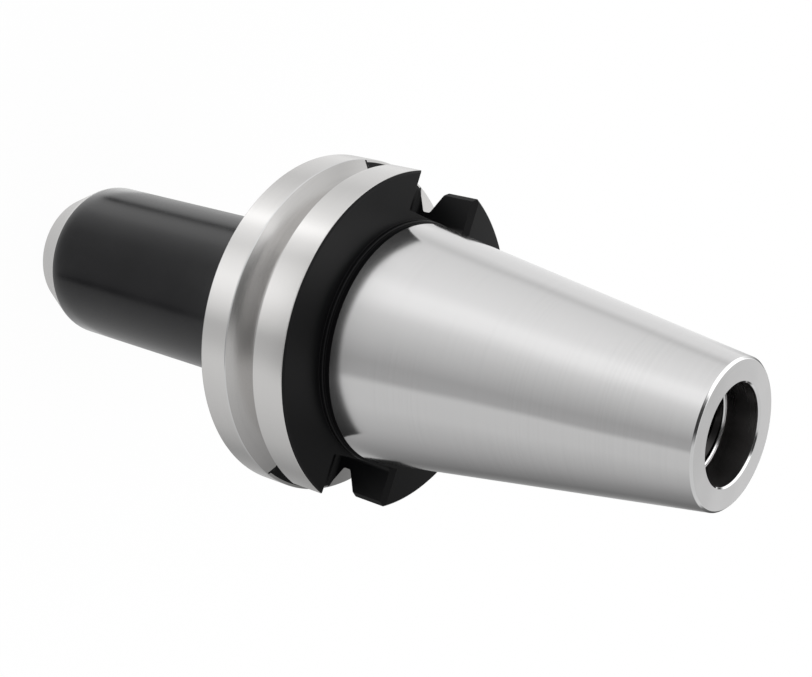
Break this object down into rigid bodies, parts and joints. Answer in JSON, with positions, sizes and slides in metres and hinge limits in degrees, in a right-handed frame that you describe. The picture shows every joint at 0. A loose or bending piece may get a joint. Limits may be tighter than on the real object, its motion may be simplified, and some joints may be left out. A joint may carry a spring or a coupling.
{
  "type": "endmill holder",
  "caption": "Side-lock endmill holder with a 7/24 steep taper shank, a V-flange with drive slots and a straight cutter bore.",
  "frame": {"origin": "on the tool axis at the nose face, which is the face the holder stands on", "axes": "+Z along the tool axis from the nose to the tail of the taper; the drive slots are at +X and -X; the side lock screw is at +Y"},
  "size_m": [0.063, 0.063, 0.1554],
  "materials": {
    "body_steel": "ground taper and lands, black oxide hub and flange face",
    "screw_steel": "black oxide alloy steel"
  },
  "bodies": {
    "root": {"holder_body": "body_steel", "set_screw": "screw_steel"}
  },
  "joints": []
}
